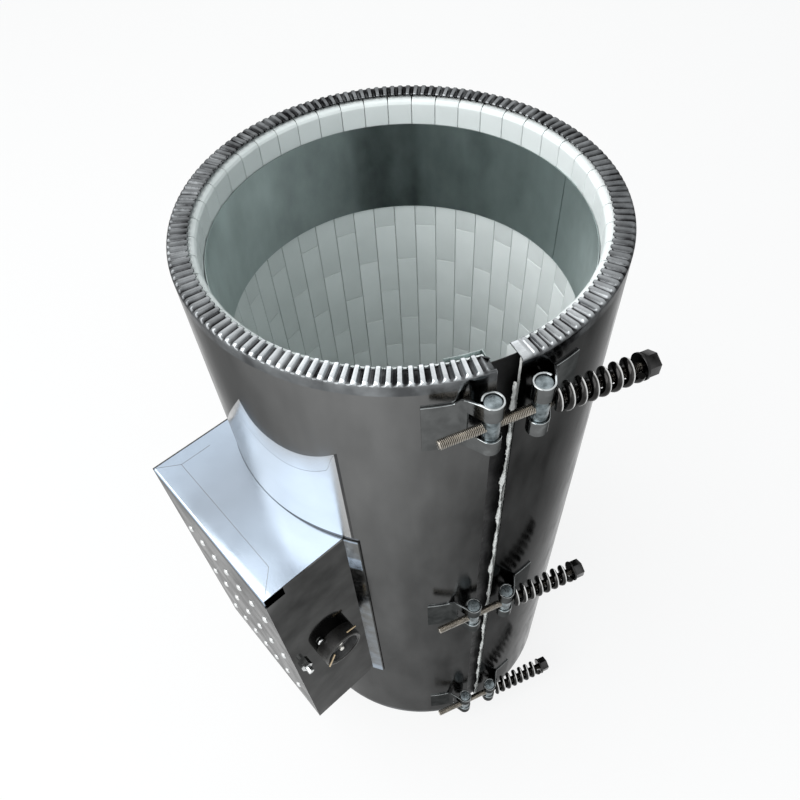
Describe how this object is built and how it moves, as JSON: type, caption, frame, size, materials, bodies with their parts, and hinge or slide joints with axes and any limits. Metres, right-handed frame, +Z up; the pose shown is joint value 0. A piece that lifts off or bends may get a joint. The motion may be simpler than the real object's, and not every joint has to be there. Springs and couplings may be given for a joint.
{
  "type": "ceramic band heater",
  "caption": "Cylindrical ceramic band heater with crimped rims, brick lining, spring-loaded screw clamps across its split and a terminal box on its side.",
  "frame": {"origin": "centre of the bore at the plane of the bottom rim's crests", "axes": "+Z up along the bore, -X out through the terminal box, the split on the -Y side"},
  "size_m": [0.3378, 0.3207, 0.604],
  "materials": {
    "polished_steel": "polished, mirror-like rolled stainless sheet",
    "clamp_steel": "zinc-bright steel",
    "dark_steel": "black oxide",
    "ceramic": null,
    "fibre": "white ceramic fibre mat",
    "coil_wire": "nickel-chromium wire",
    "phenolic": "dark moulded phenolic",
    "contact_metal": "plated contact pins",
    "brass_screw": "terminal screws"
  },
  "bodies": {
    "band": {"outer_shell": "polished_steel", "insulation_blanket": "fibre", "ceramic_bricks": "ceramic", "heating_coils": "coil_wire", "inner_hoop": "polished_steel", "end_channel": "polished_steel", "seam_tongue": "dark_steel", "box_cover": "polished_steel", "box_near_plate": "polished_steel", "box_far_plate": "polished_steel", "inlet_body": "phenolic", "inlet_contacts": "contact_metal", "inlet_screws": "clamp_steel", "earth_screw": "clamp_steel", "earth_nut": "clamp_steel", "lead_bushes": "ceramic", "power_leads": "coil_wire", "terminal_block": "ceramic", "terminal_screws": "brass_screw", "clamp_straps_left": "clamp_steel", "barrel_pins_left": "clamp_steel", "clamp_straps_right": "clamp_steel", "barrel_pins_right": "clamp_steel"},
    "top_spring_stack": {"clamp_washer_top": "clamp_steel", "clamp_spring_top": "clamp_steel"},
    "top_screw": {"clamp_screw_top": "dark_steel"},
    "middle_spring_stack": {"clamp_washer_middle": "clamp_steel", "clamp_spring_middle": "clamp_steel"},
    "middle_screw": {"clamp_screw_middle": "dark_steel"},
    "bottom_spring_stack": {"clamp_washer_bottom": "clamp_steel", "clamp_spring_bottom": "clamp_steel"},
    "bottom_screw": {"clamp_screw_bottom": "dark_steel"}
  },
  "joints": [
    {"name": "top_screw_travel", "type": "slide", "parent": "band", "child": "top_spring_stack", "axis": [-0.9478, 0.319, 0], "range_m": [-0.008, 0.012], "deforming": ["clamp_spring_top"]},
    {"name": "top_screw_turn", "type": "hinge", "parent": "top_spring_stack", "child": "top_screw", "pos_m": [-0.04864, -0.14453, 0.5735], "axis": [-0.9478, 0.319, 0], "range_deg": [-2880, 4320]},
    {"name": "middle_screw_travel", "type": "slide", "parent": "band", "child": "middle_spring_stack", "axis": [-0.9478, 0.319, 0], "range_m": [-0.008, 0.012], "deforming": ["clamp_spring_middle"]},
    {"name": "middle_screw_turn", "type": "hinge", "parent": "middle_spring_stack", "child": "middle_screw", "pos_m": [-0.04864, -0.14453, 0.308], "axis": [-0.9478, 0.319, 0], "range_deg": [-2880, 4320]},
    {"name": "bottom_screw_travel", "type": "slide", "parent": "band", "child": "bottom_spring_stack", "axis": [-0.9478, 0.319, 0], "range_m": [-0.008, 0.012], "deforming": ["clamp_spring_bottom"]},
    {"name": "bottom_screw_turn", "type": "hinge", "parent": "bottom_spring_stack", "child": "bottom_screw", "pos_m": [-0.04864, -0.14453, 0.057], "axis": [-0.9478, 0.319, 0], "range_deg": [-2880, 4320]}
  ],
  "couplings": [
    {"joint": "top_screw_turn", "follows": "top_screw_travel", "rad_per_m": 6283.2},
    {"joint": "middle_screw_turn", "follows": "middle_screw_travel", "rad_per_m": 6283.2},
    {"joint": "bottom_screw_turn", "follows": "bottom_screw_travel", "rad_per_m": 6283.2}
  ]
}
